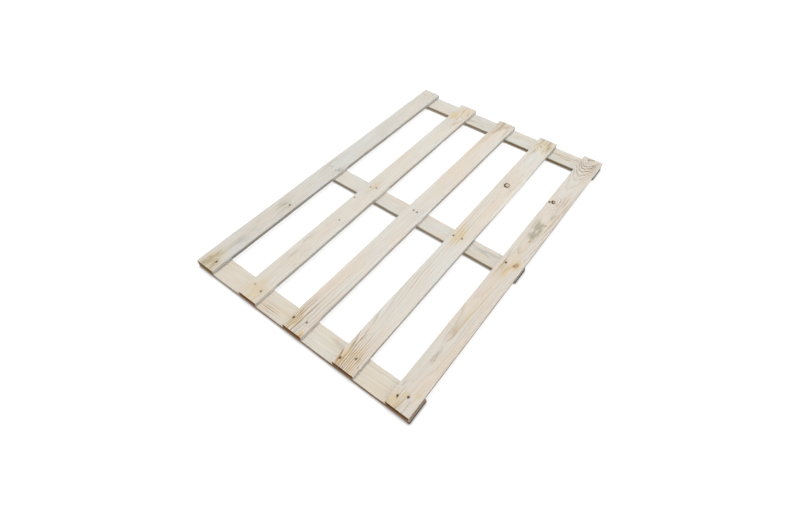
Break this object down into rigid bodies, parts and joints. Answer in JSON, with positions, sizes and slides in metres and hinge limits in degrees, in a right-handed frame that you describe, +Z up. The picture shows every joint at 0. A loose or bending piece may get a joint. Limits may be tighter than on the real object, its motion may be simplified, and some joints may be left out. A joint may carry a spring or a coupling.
{
  "type": "wooden pallet",
  "caption": "Light flat wooden pallet: long sawn deck boards nailed across shorter cross boards, with wide open gaps, for covering or spreading a load.",
  "frame": {"origin": "on the surface that the pallet lies on, under the middle of its 1200 x 800 mm outline", "axes": "+X along the long deck boards towards the rear cross board, +Y across them towards deck board 1, +Z up"},
  "size_m": [1.2, 0.8, 0.03],
  "materials": {
    "deck_wood": "sawn, dry, unfinished",
    "cross_wood": "sawn, dry, unfinished",
    "nail_steel": "bare, dulled and a little rusted"
  },
  "bodies": {
    "root": {"deck_board_1": "deck_wood", "deck_board_2": "deck_wood", "deck_board_3": "deck_wood", "deck_board_4": "deck_wood", "deck_board_5": "deck_wood", "cross_board_front": "cross_wood", "cross_board_middle": "cross_wood", "cross_board_rear": "cross_wood", "nail_front_1_left": "nail_steel", "nail_front_1_right": "nail_steel", "nail_front_2_left": "nail_steel", "nail_front_2_right": "nail_steel", "nail_front_3_left": "nail_steel", "nail_front_3_right": "nail_steel", "nail_front_4_left": "nail_steel", "nail_front_4_right": "nail_steel", "nail_front_5_left": "nail_steel", "nail_front_5_right": "nail_steel", "nail_middle_1_left": "nail_steel", "nail_middle_1_right": "nail_steel", "nail_middle_2_left": "nail_steel", "nail_middle_2_right": "nail_steel", "nail_middle_3_left": "nail_steel", "nail_middle_3_right": "nail_steel", "nail_middle_4_left": "nail_steel", "nail_middle_4_right": "nail_steel", "nail_middle_5_left": "nail_steel", "nail_middle_5_right": "nail_steel", "nail_rear_1_left": "nail_steel", "nail_rear_1_right": "nail_steel", "nail_rear_2_left": "nail_steel", "nail_rear_2_right": "nail_steel", "nail_rear_3_left": "nail_steel", "nail_rear_3_right": "nail_steel", "nail_rear_4_left": "nail_steel", "nail_rear_4_right": "nail_steel", "nail_rear_5_left": "nail_steel", "nail_rear_5_right": "nail_steel"}
  },
  "joints": []
}
